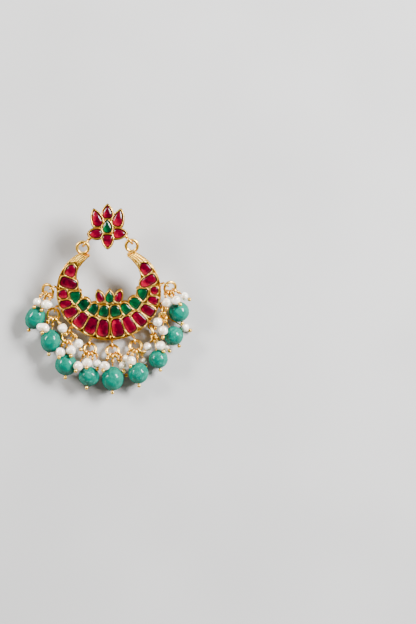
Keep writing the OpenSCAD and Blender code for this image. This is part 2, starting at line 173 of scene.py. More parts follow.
# %% [markdown]
# The colours of the real earring are judged on a screen, whose values from 0 to 255 follow a curve. Shaders
# count in plain light, so each colour goes through that curve first. Typing the numbers of plain light would
# spare the sum, but nobody can picture them.

# %% Colours
def linear(value):
    """Light of one value from 0 to 255, by the curve of an sRGB screen."""
    if value < 11:
        return value / 255 / 12.92
    return ((value / 255 + 0.055) / 1.055) ** 2.4


def rgb(*values):
    """A colour given as the red, green and blue that a screen shows."""
    return (*map(linear, values), 1.0)


print("mid grey of a screen is", round(linear(128), 3), "in light")

# %% [markdown]
# Every finish here is a Principled shader. Blender has others for metal and glass, but this one is the one
# that other programs understand as well. What varies over the surface comes from clouds of noise, whose spots
# have a real size in millimetres. The normals come from a height in millimetres too, so that a dent is as
# deep as a real one.

# %% Finishes
def material(name, build, **constants):
    """A Principled material. build gets the tree and Object coordinates, and returns the varying inputs."""
    mat = bpy.data.materials.new(name)
    mat.use_nodes = True
    tree = mat.node_tree
    shader = next(n for n in tree.nodes if n.type == "BSDF_PRINCIPLED")
    for key, value in constants.items():
        shader.inputs[key.replace("_", " ")].default_value = value
    place = make(tree, "ShaderNodeTexCoord", output=3)
    for key, value in build(tree, place).items():
        plug(tree, shader.inputs[key], value)
    print("material", name, len(tree.nodes), "nodes")
    return mat


def cloud(tree, place, size, detail=3.0, rough=0.5, swirl=0.0):
    """Noise from 0 to 1 whose spots are about size millimetres across."""
    inputs = {"Vector": place, "Scale": 1 / (size * MM), "Detail": detail, "Roughness": rough,
              "Distortion": swirl}
    return make(tree, "ShaderNodeTexNoise", inputs)


def bump(tree, height, depth):
    """Normals of a height from 0 to 1 that stands for depth millimetres."""
    return make(tree, "ShaderNodeBump", {"Height": height, "Distance": depth * MM, "Strength": 1.0})


def above(tree, place, plane):
    """Millimetres above a drawing's plane, measured square to it."""
    up = plane.col[2].to_3d()
    share = make(tree, "ShaderNodeVectorMath", {0: place, 1: up}, output=1, operation="DOT_PRODUCT")
    return share / MM - up.dot(plane.translation)


print("one millimetre is", MM, "in Blender")

# %% [markdown]
# Kemp stones are domes of glass over coloured foil. Light goes in on one side, and glows on the foil on the
# other. Real glass over foil could be made with refraction, but that is slow, noisy and lost in an export. So
# the glow is painted: the mesh of each stone keeps how far in a point is, how far towards the glowing side,
# and how bright the whole stone is, and the finish mixes five colours by these. Streaks stand for the creases
# of the foil and flecks for what is inside the glass; where flecks fall in the glow they are painted
# sparkles. The rim of each stone is painted dark, as painted shade next to the metal. The low index keeps the
# polish from turning it pale.

# %% Glass over foil
TRAITS = ("inward", "lit", "tone")
GLASS = 1.36


def kemp_look(edge, deep, body, glow, painted_sparkle):
    """Glass over foil, in five colours, from a dark edge painted as shade to the brightest flecks, which are
    painted sparkles in its painted glow.
    """
    def build(tree, place):
        inward, lit, tone = (make(tree, "ShaderNodeAttribute", output=2, attribute_name=trait)
                             for trait in TRAITS)
        streak = cloud(tree, place, size=1.8, detail=3, rough=0.55, swirl=1.0)
        fleck = cloud(tree, place, size=0.5, detail=3, rough=0.6)
        colour = (tone * 0.6 + streak.ramp(0.35, 0.65) * 0.5).mix(deep, body)
        # painted glow on the foil, strongest on the side away from the lamps
        painted_glow_share = (lit + 0.9 * (streak - 0.5)).ramp(0.05, 0.85) * (0.4 + 0.6 * tone)
        colour = painted_glow_share.mix(colour, glow)
        # painted sparkles where the flecks fall in the painted glow
        colour = (fleck.ramp(0.56, 0.72) * painted_glow_share * 0.8).mix(colour, painted_sparkle)
        # the rim of each stone is painted dark, as painted shade next to the metal
        colour = (inward + 0.1 * (fleck - 0.5)).ramp(0.01, 0.15).mix(edge, colour)
        dents = cloud(tree, place, size=1.1, detail=2)
        return {"Base Color": colour, "Roughness": 0.1 + 0.12 * fleck, "Normal": bump(tree, dents, 0.05)}
    return build


ruby_look = kemp_look(edge=rgb(16, 2, 4), deep=rgb(46, 0, 13), body=rgb(98, 0, 27),
                      glow=rgb(188, 0, 48), painted_sparkle=rgb(206, 40, 90))
emerald_look = kemp_look(edge=rgb(4, 10, 6), deep=rgb(0, 24, 13), body=rgb(0, 60, 30),
                         glow=rgb(0, 116, 58), painted_sparkle=rgb(20, 140, 80))
ruby = material("kemp_ruby", ruby_look, IOR=GLASS)
emerald = material("kemp_emerald", emerald_look, IOR=GLASS)

# %% [markdown]
# A real stone is cut to its cell, so the outline of every cell is the girdle of its stone. It could be
# measured again from the photo, but the CAD stones already have it, and reading it from them keeps the two
# models the same. A copy of the CAD mesh is merged first, because it comes as loose triangles. Each loose
# stone is then found by walking along its edges, and laid flat in the plane that it was drawn in.

# %% Girdles of the CAD stones
CAD_WELD = 1e-6
TABLE_MARGIN = 0.2


def loose_parts(bm):
    """The points of each part of a mesh that hangs together."""
    seen = set()
    for start in bm.verts:
        if start in seen:
            continue
        seen.add(start)
        group = [start]
        for vert in group:
            near = [edge.other_vert(vert) for edge in vert.link_edges]
            group += [v for v in dict.fromkeys(near) if v not in seen]
            seen.update(near)
        yield [vert.co.copy() for vert in group]


def outlines(node, plane):
    """The girdle of each stone of a node, in its own plane, anticlockwise."""
    bm = bmesh.new()
    bm.from_mesh(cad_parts[node].data)
    bmesh.ops.remove_doubles(bm, verts=bm.verts, dist=CAD_WELD)
    bmesh.ops.transform(bm, matrix=plane.inverted() @ Matrix.Scale(1 / MM, 4), verts=bm.verts)
    found = []
    for points in loose_parts(bm):
        low = min(p.z for p in points) + TABLE_MARGIN
        high = max(p.z for p in points) - TABLE_MARGIN
        girdle = [Vector((p.x, p.y, 0)) for p in points if low < p.z < high]
        middle = sum(girdle, Vector()) / len(girdle)
        found.append(sorted(girdle, key=lambda p: math.atan2(p.y - middle.y, p.x - middle.x)))
    bm.free()
    return found


print("corners of one girdle", len(outlines("stud_emerald", to_stud)[0]))

# %% [markdown]
# The CAD girdles have corners, and real stones are ground round. A curve through the corners rounds them
# without moving them, so the stone still fits its cell. The Catmull-Rom curve does that with four points at a
# time, and it draws the crescent's edges further down as well.

# %% Rounded outlines
def curve(a, b, c, d, t):
    """Catmull-Rom curve between b and c, where t runs from 0 to 1."""
    square, cube = 2 * a - 5 * b + 4 * c - d, 3 * b - a - 3 * c + d
    return 0.5 * (2 * b + (c - a) * t + square * t * t + cube * t ** 3)


def smooth_loop(points, parts=3):
    """Closed curve through the points, with each stretch cut in parts."""
    out = []
    for i in range(len(points)):
        corners = [points[(i + k) % len(points)] for k in (-1, 0, 1, 2)]
        out += [curve(*corners, k / parts) for k in range(parts)]
    return out


MOON_HEIGHT, LOTUS_HEIGHT, STUD_HEIGHT = 2.3, 2.7, 2.3
# node, plane, height of the bezels, finish, slot
SETS = [("stud_rubies", to_stud, STUD_HEIGHT, ruby, "kemp_ruby"),
        ("stud_emerald", to_stud, STUD_HEIGHT, emerald, "kemp_emerald"),
        ("crescent_rubies", to_slope, MOON_HEIGHT, ruby, "kemp_ruby"),
        ("crescent_emeralds", to_slope, MOON_HEIGHT, emerald, "kemp_emerald"),
        ("lotus_rubies", to_slope, LOTUS_HEIGHT, ruby, "kemp_ruby"),
        ("lotus_emerald", to_slope, LOTUS_HEIGHT, emerald, "kemp_emerald")]
shapes = {name: [smooth_loop(girdle) for girdle in outlines(name, plane)] for name, plane, *_ in SETS}
print("stones", {name: len(found) for name, found in shapes.items()})

# %% [markdown]
# A stone is a low dome: a straight girdle inside its cell, a steep shoulder that leaves a dark line next to
# the metal, and a round top that catches the lights. Subdivision would round the girdle too, and a scaled
# ball wouldn't follow the cell. So the stone starts as one face, whose edge is extruded, drawn in and raised
# again and again, by a short table. Small stones are flatter, as less glass fits in their cells. Each vertex
# keeps the traits that the finish reads.

# %% Stones on their seats
# share of the outline, height above the bezels
DOME = [(1.00, -1.15), (1.00, -0.42), (0.99, -0.28), (0.97, -0.19), (0.93, -0.10), (0.86, 0.00), (0.76, 0.10),
        (0.63, 0.205), (0.48, 0.295), (0.32, 0.36), (0.16, 0.395)]
FULL_HALF, LEAST_RISE = 1.7, 0.4
GLOW_SIDE, SIDE_SPREAD = math.radians(215), 1.5
TONE_MIDDLE, TONE_SPREAD = 0.5, 1.3


def chance(centre, spread, seed):
    """A value around 0 that is a stone's own, the same in each run."""
    return noise.noise((centre.x * spread, centre.y * spread, seed))


def dome(bm, loop, top):
    """Stone on an outline, with its traits on its vertices."""
    layers = [bm.verts.layers.float.get(trait) or bm.verts.layers.float.new(trait) for trait in TRAITS]
    face = bm.faces.new([bm.verts.new(p + Vector((0, 0, top + DOME[0][1]))) for p in loop])
    low, high = (Vector([pick(p[c] for p in loop) for c in (0, 1)]) for pick in (min, max))
    centre, half = (low + high) / 2, (high - low) / 2
    around = Matrix.Translation((-centre.x, -centre.y, 0))
    tone = min(1.0, max(0.0, TONE_MIDDLE + TONE_SPREAD * chance(centre, spread=2.3, seed=3)))
    side = GLOW_SIDE + SIDE_SPREAD * chance(centre, spread=3.1, seed=7)
    rise = min(1.0, LEAST_RISE + (1 - LEAST_RISE) * min(half) / FULL_HALF)
    edges = face.edges[:]
    for (share, height), (next_share, next_height) in zip(DOME, DOME[1:]):
        made = bmesh.ops.extrude_edge_only(bm, edges=edges)["geom"]
        verts = {g for g in made if isinstance(g, bmesh.types.BMVert)}
        edges = [g for g in made if isinstance(g, bmesh.types.BMEdge) and verts.issuperset(g.verts)]
        ratio = next_share / share
        bmesh.ops.scale(bm, vec=(ratio, ratio, 1), space=around, verts=list(verts))
        lift = (next_height - height) * (1.0 if share == next_share else rise)
        bmesh.ops.translate(bm, vec=(0, 0, lift), verts=list(verts))
        for vert in verts:
            x, y = ((vert.co[c] - centre[c]) / half[c] for c in (0, 1))
            lit = x * math.cos(side) + y * math.sin(side)
            for layer, value in zip(layers, (1 - next_share, lit, tone)):
                vert[layer] = value
    bmesh.ops.contextual_create(bm, geom=edges)


for name, plane, top, look, slot in SETS:
    bm = bmesh.new()
    for loop in shapes[name]:
        dome(bm, loop, top)
    bmesh.ops.transform(bm, matrix=plane, verts=bm.verts)
    piece(name + "_cut", bm, look, slot, [name])

# %% [markdown]
# The real earring shows dark lines round every cell, and here they are painted shade: the gold is darkened
# wherever it lies in a recess, as if shade fell there. It could follow a map of hollows, but such a map has
# to be baked. The setting is drawn flat, so the height above its back says the same: whatever lies lower than
# the bezels' tops is a recess. The crescent's node also has its eyes and top rings, which are low but bright,
# so its painted shade stops at the rim and past the tips of the horns.

# %% Painted shade in the recesses
# dark brown, painted as shade into the recesses and grooves
PAINTED_SHADE = rgb(54, 25, 8)
RECESS_SHADE_SHARE, SHADE_EDGE_WAVE = 0.6, 0.5
MOON_REACH, RIM_FADE, TIPS_Y, TIPS_FADE = 17.3, 0.3, -8.0, 0.4
TIPS_PLANE = Matrix.Translation((0, TIPS_Y, 0)) @ Matrix.Rotation(-math.pi / 2, 4, "X")


def painted_recess_shade(tree, place, fine, plane, low, high):
    """Share of painted shade: 1 below the height low over a plane and 0 above high, with an uneven edge."""
    height = above(tree, place, plane) + SHADE_EDGE_WAVE * (fine - 0.5)
    hollow = 1.0 - height.ramp(low, high)
    if plane is not to_slope:
        return hollow
    inputs = {0: place, 1: plane.translation * MM}
    reach = make(tree, "ShaderNodeVectorMath", inputs, output=1, operation="DISTANCE") / MM
    inside = reach.ramp(MOON_REACH + RIM_FADE, MOON_REACH)
    return hollow * inside * above(tree, place, TIPS_PLANE).ramp(TIPS_FADE, -TIPS_FADE)


print("patina ends", MOON_REACH, "mm from the middle of the hollow")

# %% [markdown]
# The metal is brass with a thick gold wash. A plain metal with one colour would look like plastic foil. Two
# clouds give it life: soft dents with a paler gold between them, and fine pits that are a little redder,
# where the wash is thin. The wires of the rim, the rings and the pins show this gold as it is.

# %% Gold
BRIGHT, PALE = rgb(236, 178, 64), rgb(250, 212, 106)
WORN, EDGE_GOLD = rgb(172, 112, 34), rgb(222, 164, 80)
FINE_DULLING, SOFT_DULLING, SOFT_BUMP = 0.16, 0.1, 0.4


def gold_look(depth, grain, dull, recess=None):
    """Pits depth mm deep and grain mm across. recess is a plane and two heights, below which the gold is
    painted dark as shade.
    """
    def build(tree, place):
        soft = cloud(tree, place, size=1.6, detail=4)
        fine = cloud(tree, place, size=grain, detail=5, rough=0.65)
        tone = soft.ramp(0.35, 0.7).mix(BRIGHT, PALE)
        colour = fine.ramp(0.28, 0.5).mix(WORN, tone)
        if recess:
            # gold that lies low is painted dark, as painted shade
            colour = (painted_recess_shade(tree, place, fine, *recess) * RECESS_SHADE_SHARE).mix(colour, PAINTED_SHADE)
        return {"Base Color": colour, "Roughness": dull + FINE_DULLING * fine + SOFT_DULLING * soft,
                "Normal": bump(tree, fine + SOFT_BUMP * soft, depth)}
    return build


def gold(name, look):
    return material(name, look, Metallic=1.0, Specular_Tint=EDGE_GOLD)


gold_wire = gold("gold_wire", gold_look(depth=0.03, grain=0.6, dull=0.18))

# %% [markdown]
# Bezels are the pressed edges of the cells. They are polished by wear on top, and along their foot they are
# painted dark as shade, so they get their own gold, whose painted shade ends just under their top. One finish
# would do for all of them if the meshes kept their height, but three copies, each for its own back and
# height, are simpler.

# %% Gold of the bezels
# depths under and over the bezels' top where their painted shade is full and where it ends
SHADE_FROM, SHADE_TO = 0.22, 0.04


def bezel_gold(name, plane, top):
    recess = (plane, top - SHADE_FROM, top + SHADE_TO)
    return gold(name, gold_look(depth=0.04, grain=0.45, dull=0.2, recess=recess))


bezel_moon = bezel_gold("bezel_moon", to_slope, MOON_HEIGHT)
bezel_lotus = bezel_gold("bezel_lotus", to_slope, LOTUS_HEIGHT)
bezel_stud = bezel_gold("bezel_stud", to_stud, STUD_HEIGHT)

# %% [markdown]
# Bent wire is the commonest form on the earring: bezels, the rim and the windings of the pins. It could be
# a section moved along a path by hand, but Blender's curves do that by themselves. A curve with a bevel is
# turned into faces, added to the drawing, and removed again.

# %% Bent wire
def bent_wire(bm, points, radius, closed=False, detail=2, thickness=None):
    """Round wire along points. thickness is a share of the radius at each point."""
    wire = bpy.data.curves.new("wire", "CURVE")
    wire.dimensions, wire.use_fill_caps = "3D", not closed
    wire.bevel_depth, wire.bevel_resolution = radius, detail
    spline = wire.splines.new("POLY")
    spline.points.add(len(points) - 1)
    for i, p in enumerate(points):
        spline.points[i].co = (*p, 1)
        spline.points[i].radius = thickness[i] if thickness else 1
    spline.use_cyclic_u = closed
    holder = bpy.data.objects.new("wire", wire)
    mesh = bpy.data.meshes.new_from_object(holder)
    bm.from_mesh(mesh)
    bpy.data.objects.remove(holder)
    bpy.data.meshes.remove(mesh)
    bpy.data.curves.remove(wire)


# %% [markdown]
# A goldsmith presses the edge of each cell down on its stone, which leaves a round, bright ridge. Bevelling
# the CAD walls would round them too, but evenly, and pressed metal isn't even. So a wire follows the middle
# of the wall, a little higher and thicker in places. Where two cells stand close, they share one wall and
# their wires melt into one ridge: a search tree finds the nearest points of the other cells.

# %% Bezels
STONE_GAP, WALL, LEAST_WALL = 0.1, 0.37, 0.2
BEZEL_WIRE, BEZEL_WAVE, BEZEL_SWELL, WAVES_A_MM = 0.158, 0.06, 0.07, 1.3


def bezels(name, nodes, plane, top, look):
    cells = [loop for node in nodes for loop in shapes[node]]
    spots = [(p, i) for i, loop in enumerate(cells) for p in loop]
    tree = KDTree(len(spots))
    for k, (p, _) in enumerate(spots):
        tree.insert(p, k)
    tree.balance()
    bm = bmesh.new()
    for i, loop in enumerate(cells):
        path, thickness = [], []
        for k, p in enumerate(loop):
            along = loop[(k + 1) % len(loop)] - loop[k - 1]
            out = Vector((along.y, -along.x, 0)).normalized()
            near = [d for _, other, d in tree.find_range(p, 2 * (WALL + STONE_GAP)) if spots[other][1] != i]
            wall = max(LEAST_WALL, min([WALL] + [d - 2 * STONE_GAP for d in near]))
            uneven = noise.noise(p * WAVES_A_MM)
            path.append(p + out * (STONE_GAP + wall / 2) + Vector((0, 0, top + BEZEL_WAVE * uneven)))
            thickness.append(1 + BEZEL_SWELL * uneven)
        bent_wire(bm, path, BEZEL_WIRE, closed=True, thickness=thickness)
    bmesh.ops.transform(bm, matrix=plane, verts=bm.verts)
    return piece(name, bm, look, "gold")


bezels("stud_bezels", ("stud_rubies", "stud_emerald"), to_stud, STUD_HEIGHT, bezel_stud)
bezels("crescent_bezels", ("crescent_rubies", "crescent_emeralds"), to_slope, MOON_HEIGHT, bezel_moon)
bezels("lotus_bezels", ("lotus_rubies", "lotus_emerald"), to_slope, LOTUS_HEIGHT, bezel_lotus)

# %% [markdown]
# The crescent's plate is cut by hand and is no true circle. Its edges could be read from the CAD mesh, as the
# girdles are, but that mesh also has eyes and rings on them. So they come from a short table, the same as in
# the part's source: how far they are from the middle of the hollow, every 15 degrees from the foot up. The
# left side mirrors the right one.

# %% Edges of the crescent
# outer distance, inner distance
MOON_EDGE = [(16.65, 4.9), (16.70, 5.1), (16.70, 5.9), (16.85, 7.0), (17.00, 8.1), (16.95, 8.8), (16.65, 9.5),
             (16.20, 10.6), (15.50, 11.3), (14.55, 11.5), (13.90, 11.8)]
EDGE_STEP, OUTER, INNER = 15, 0, 1


def edge_at(angle, column):
    """Distance of an edge from the middle of the hollow, at degrees from the foot."""
    i, t = divmod(abs(angle) / EDGE_STEP, 1)
    rows = (MOON_EDGE[min(abs(int(i) + k), len(MOON_EDGE) - 1)] for k in (-1, 0, 1, 2))
    return curve(*(row[column] for row in rows), t)


def laid(angle, distance, z, height=MOON_PLATE):
    """Point of the slope that a view from above shows at an angle and distance round the hollow."""
    a = math.radians(angle)
    x, y = distance * math.sin(a), -distance * math.cos(a)
    return to_slope @ Vector((x, (y + height * math.sin(TILT)) / math.cos(TILT), z))


print("width of the plate at its foot", round(edge_at(0, OUTER) - edge_at(0, INNER), 2))

# %% [markdown]
# A rounded rim runs along both edges of the plate, and hides how thin the plate is. Bevelling the plate would
# round it too, but the rim stands a little higher than the plate, as a wire does that is soldered on. So it
# is one more bent wire on each edge, just inside it and a little uneven.

# %% Rim
# degrees from the foot where the plate ends, inside, and outside on its left and right
INNER_END, OUTER_ENDS = 150, (140, 145)
RIM_WIRE, RIM_STEPS = 0.24, 180
RIM_WAVE, WAVE_PACE, RIM_SWELL, SWELL_PACE = 0.03, 1.7, 0.1, 2.3
# edge, first angle, last angle, how far from the edge the wire runs, outwards
RIMS = [(OUTER, -OUTER_ENDS[0], OUTER_ENDS[1], -0.16), (INNER, -INNER_END, INNER_END, 0.16)]

bm = bmesh.new()
for column, start, end, inset in RIMS:
    angles = [start + (end - start) * k / RIM_STEPS for k in range(RIM_STEPS + 1)]
    path = [laid(a, edge_at(a, column) + inset, MOON_PLATE + RIM_WAVE * math.sin(WAVE_PACE * a))
            for a in angles]
    bent_wire(bm, path, RIM_WIRE, thickness=[1 + RIM_SWELL * math.sin(SWELL_PACE * a) for a in angles])
piece("crescent_rim", bm, gold_wire, "gold")

# %% [markdown]
# The horns are worked with a punch, and their grooves are painted dark as shade. Their height above the back
# says nothing about a groove, so here the mesh itself keeps how deep a vertex lies in one, and the finish
# reads it. The grains have the same gold, coarser than the wire's, but no grooves.

# %% Chased gold
# how dark the grooves are painted, as painted shade
GROOVE_SHADE_SHARE = 0.9


def chased_look(tree, place):
    """Gold whose grooves, marked on the mesh, are painted dark as shade."""
    inputs = gold_look(depth=0.06, grain=0.34, dull=0.24)(tree, place)
    groove = make(tree, "ShaderNodeAttribute", output=2, attribute_name="groove")
    # grooves painted dark as shade
    return {**inputs, "Base Color": (groove * GROOVE_SHADE_SHARE).mix(inputs["Base Color"], PAINTED_SHADE)}


gold_chased = gold("gold_chased", chased_look)

# %% [markdown]
# Above the last stones, each horn is a chased cushion of gold: ridges run along it and close up towards its
# tip, with fine slanting cuts across them. A bump in the material would look flat from the side, so the
# relief is real. A flat grid is the easiest start: every vertex has two shares, across and along the horn,
# and one function turns them into its place. How deep it lies in a groove stays on the vertex, for the
# painted shade in the grooves. Solidify gives the sheet a back.

# %% Horns
ACROSS, ALONG, SHEET = 48, 64, 0.15
RIDGES, RIDGE_HEIGHT, RIDGE_BEND, BEND_PACE = 4, 0.22, 0.35, 3
CUTS, CUT_HEIGHT, CUT_SLANT = 9, 0.16, 2.5
RIDGE_SHARPNESS, CUT_SHARPNESS, CUT_SHADE = 1.4, 1.8, 0.7
# degrees from the foot where a horn starts, and how much later it starts in its middle
HORN_START, START_BOW = 118, 8
HORN_SIDE, HORN_SWELL, EDGE_TUCK = MOON_HEIGHT - 0.35, 0.45, 0.1
END_STEEPNESS, TIP_LEFT = 8, 0.2


def horn_point(side, outer_end, s, t):
    """s runs from the outer edge to the inner one, and t from the last stone to the tip."""
    last = outer_end + (INNER_END - outer_end) * s
    start = HORN_START + START_BOW * math.sin(math.pi * s)
    angle = start + (last - start) * t
    outer, inner = edge_at(angle, OUTER) - EDGE_TUCK, edge_at(angle, INNER) + EDGE_TUCK
    swell = math.sqrt(max(0.0, 1 - (2 * s - 1) ** 2))
    ridge = abs(math.cos(math.pi * (RIDGES * s + RIDGE_BEND * math.sin(BEND_PACE * t))))
    cut = abs(math.cos(math.pi * (CUTS * t + CUT_SLANT * s)))
    end = min(1.0, END_STEEPNESS * t, END_STEEPNESS * (1 - t) + TIP_LEFT)
    rise = HORN_SIDE + HORN_SWELL * swell + end * (RIDGE_HEIGHT * ridge + CUT_HEIGHT * cut)
    # how deep a vertex lies in a groove, which the finish paints dark as shade
    groove = max(0.0, 1 - RIDGE_SHARPNESS * ridge) + CUT_SHADE * max(0.0, 1 - CUT_SHARPNESS * cut)
    height = MOON_PLATE + (rise - MOON_PLATE) * end
    return laid(side * angle, outer + (inner - outer) * s, height, MOON_HEIGHT), groove


bm = bmesh.new()
groove = bm.verts.layers.float.new("groove")
for side, outer_end in zip((-1, 1), OUTER_ENDS):
    grid = bmesh.ops.create_grid(bm, x_segments=ACROSS, y_segments=ALONG, size=0.5)
    for vert in grid["verts"]:
        vert.co, vert[groove] = horn_point(side, outer_end, vert.co.x + 0.5, vert.co.y + 0.5)
bmesh.ops.recalc_face_normals(bm, faces=bm.faces)
bmesh.ops.solidify(bm, geom=bm.faces[:], thickness=SHEET)
piece("horns", bm, gold_chased, "gold")

# %% [markdown]
# Gold grains fill the corners that three bezels leave. A real grain is a melted snip of wire, so it is
# nearly a ball. Here each is a small icosphere, because its faces are even all round, and noise dents it so
# that it sparkles unevenly.

# %% Grains
# x, y from above, radius
GRAINS = [(0.74, -34.0, 0.50), (-4.4, -32.75, 0.34), (10.0, -31.1, 0.34), (13.9, -27.9, 0.34),
          (-15.4, -18.4, 0.30), (15.9, -17.9, 0.34), (-12.2, -28.3, 0.30), (5.9, -33.2, 0.32),
          (-8.6, -30.9, 0.30), (16.4, -22.6, 0.28), (-15.6, -22.4, 0.28)]
GRAIN_HEIGHT, GRAIN_DENTS, DENTS_A_MM, GRAIN_STRETCH = MOON_PLATE + 0.45, 0.3, 4, 1.2

bm = bmesh.new()
for x, y, radius in GRAINS:
    down = (y - MOON_CENTRE.y + GRAIN_HEIGHT * math.sin(TILT)) / math.cos(TILT)
    on_plate = Vector((x - MOON_CENTRE.x, down, GRAIN_HEIGHT))
    ball = bmesh.ops.create_icosphere(bm, subdivisions=3, radius=radius)["verts"]
    for vert in ball:
        vert.co *= 1 + GRAIN_DENTS * noise.noise(vert.co * DENTS_A_MM + Vector((x, y, 0)))
    bmesh.ops.scale(bm, vec=(1, 1, GRAIN_STRETCH), verts=ball)
    bmesh.ops.translate(bm, vec=to_slope @ on_plate, verts=ball)
piece("grains", bm, gold_chased, "gold")

# %% [markdown]
# Nine drops hang on the rim. Each has a jump ring through its rim eye, and the bead and the pearls ride on
# that ring. Objects could be placed by hand one by one, but thirty-four beads and pearls that all hang on
# something are easier to keep right in two short tables, the same as in the part's source. A seat is an
# angle round the ring, from its far end.

# %% Drops
# eye x, y, heading, pitch, roll, bead's seat, bead x, y, width, length
DROP = [(-17.80, -18.25, -58.6, -34, 0, 33, -23.35, -27.85, 6.1, 7.7),
        (-16.85, -25.05, -20.0, -18, 0, 15, -18.42, -35.25, 6.3, 7.4),
        (-12.45, -32.15, -15.0, 5, 0, 10, -13.45, -42.90, 7.0, 6.9),
        (-5.90, -36.15, 3.0, 22, 0, 18, -6.05, -46.60, 6.7, 6.2),
        (1.40, -36.70, 3.0, 18, 0, -2, 1.50, -47.35, 7.0, 7.7),
        (8.60, -35.25, 10.0, 15, 0, 0, 9.75, -45.60, 6.4, 6.8),
        (13.85, -30.50, 16.0, 5, 90, 18, 16.15, -41.10, 6.1, 6.0),
        (17.50, -24.05, 7.0, -20, 90, 12, 21.10, -33.65, 6.1, 6.1),
        (18.65, -17.25, 52.0, -30, 0, -22, 22.75, -25.95, 6.5, 6.5)]
# drops whose bead is clouded
MILKY = (4, 6, 7, 8)
# drop, seat, x, y, z, width, length
PEARL = [(1, 92, -19.85, -23.65, 6.0, 2.9, 3.1), (1, 0, -22.60, -22.80, 5.1, 2.7, 2.7),
         (2, -20, -20.20, -31.20, 6.3, 3.1, 3.0), (2, 56, -14.55, -31.25, 4.3, 3.1, 3.1),
         (3, -22, -15.15, -38.95, 6.3, 3.1, 3.1), (3, 42, -11.75, -38.35, 5.1, 3.2, 3.2),
         (3, 120, -9.35, -36.15, 3.7, 2.9, 2.9), (4, -46, -9.45, -43.35, 6.6, 3.0, 3.0),
         (4, -14, -6.55, -42.35, 5.6, 3.2, 3.0), (4, 50, -3.42, -42.60, 4.4, 2.8, 2.5),
         (5, -34, -0.95, -43.30, 5.9, 3.1, 3.0), (5, 62, 4.70, -43.25, 3.6, 2.5, 2.5),
         (5, 30, 4.95, -44.70, 1.3, 2.4, 2.4), (6, -32, 7.50, -41.70, 5.2, 3.1, 3.1),
         (6, -64, 5.65, -40.95, 1.6, 2.5, 2.5), (6, 32, 11.52, -41.65, 1.4, 2.3, 2.3),
         (7, -16, 12.75, -37.15, 3.0, 2.7, 2.7), (7, 54, 16.85, -36.80, 5.3, 3.2, 2.9),
         (7, -50, 18.60, -37.25, 2.5, 2.3, 2.3), (8, 100, 15.95, -29.22, 4.85, 3.0, 3.0),
         (8, 46, 17.75, -32.00, 5.9, 3.0, 3.0), (8, -22, 24.70, -30.95, 1.3, 2.6, 2.6),
         (9, -90, 18.75, -23.00, 6.8, 2.9, 2.9), (9, -54, 21.80, -22.30, 6.4, 3.2, 2.8),
         (9, 12, 24.55, -20.90, 4.6, 2.5, 2.5)]
print("drops", len(DROP), "pearls", len(PEARL))

# %% [markdown]
# A jump ring is a plain round link, and here it lies tilted in its eye. It could be set by three turns, but
# what hangs on it needs its directions as well. So a small class works them out once: along the ring, across
# it, and square to it. From these come the seats, the starts of the pins and the height of each bead, which
# lies on the floor.

# %% Where the jump rings lie
LINK_RADIUS, LOOP_RADIUS, OFF_FLOOR = 1.90, 0.88, 0.02


def slope_z(y):
    """Height of the middle of the crescent's plate."""
    return HOOK_Z + (y - HINGE_Y) * math.tan(TILT)


class Link:
    """A jump ring: its middle and the directions along, across and square to it."""

    def __init__(self, row):
        x, y, heading, pitch, roll, self.seat, *self.bead = row
        h, p, r = (math.radians(a) for a in (heading, pitch, roll))
        self.along = Vector((math.sin(h) * math.cos(p), -math.cos(h) * math.cos(p), math.sin(p)))
        level = Vector((math.cos(h), math.sin(h), 0))
        self.across = level * math.cos(r) + self.along.cross(level) * math.sin(r)
        self.square = self.along.cross(self.across)
        self.middle = Vector((x, y, slope_z(y))) + self.along * LINK_RADIUS

    def place(self, seat):
        """Middle of the ring's wire at a seat."""
        s = math.radians(seat)
        return self.middle + LINK_RADIUS * (math.cos(s) * self.along + math.sin(s) * self.across)

    def wire(self, seat):
        """Direction of the ring's wire at a seat."""
        s = math.radians(seat)
        return math.cos(s) * self.across - math.sin(s) * self.along

    def pin_start(self, seat, middle):
        """Point of a pin's loop that is nearest to what the pin carries."""
        d, wire = middle - self.place(seat), self.wire(seat)
        return self.place(seat) + LOOP_RADIUS * (d - wire * d.dot(wire)).normalized()

    def bead_middle(self):
        """A bead lies on the floor, so its middle is as high as its tilted oval is deep."""
        x, y, width, length = self.bead
        r, half, loop = width / 2, length / 2, self.place(self.seat)
        rise = math.atan2(r - loop.z, math.hypot(x - loop.x, y - loop.y))
        return Vector((x, y, math.hypot(r * math.cos(rise), half * math.sin(rise)) + OFF_FLOOR))


links = [Link(row) for row in DROP]
print("heights of the beads' middles", [round(link.bead_middle().z, 2) for link in links])

# %% [markdown]
# Solder, rings, beads and pearls are all round about some axis, and the axis points anywhere. Blender could
# turn each finished object into place, but the place has to be in the mesh. So a matrix says where the axis
# is, and spin turns a half outline round it, which is the quickest way to any round form.

# %% Spun forms
def placed(origin, x, z):
    """Matrix that puts its X and Z axes along two square directions, at an origin."""
    return Matrix.Translation(origin) @ Matrix((x, z.cross(x), z)).transposed().to_4x4()


def aimed(origin, direction):
    """Matrix that puts its Z axis along a direction, at an origin."""
    return placed(origin, direction.orthogonal().normalized(), direction.normalized())


def turned(bm, profile, place, steps):
    """Spins a half outline of radius and height round place's Z axis."""
    verts = [bm.verts.new(place @ Vector((radius, 0, height))) for radius, height in profile]
    edges = [bm.edges.new(pair) for pair in zip(verts, verts[1:])]
    bmesh.ops.spin(bm, geom=verts + edges, cent=place.translation, axis=place.col[2].to_3d(),
                   angle=math.tau, steps=steps, use_merge=True)


print("an axis straight up", aimed(Vector(), Vector((0, 0, 1))).col[2].to_3d()[:])

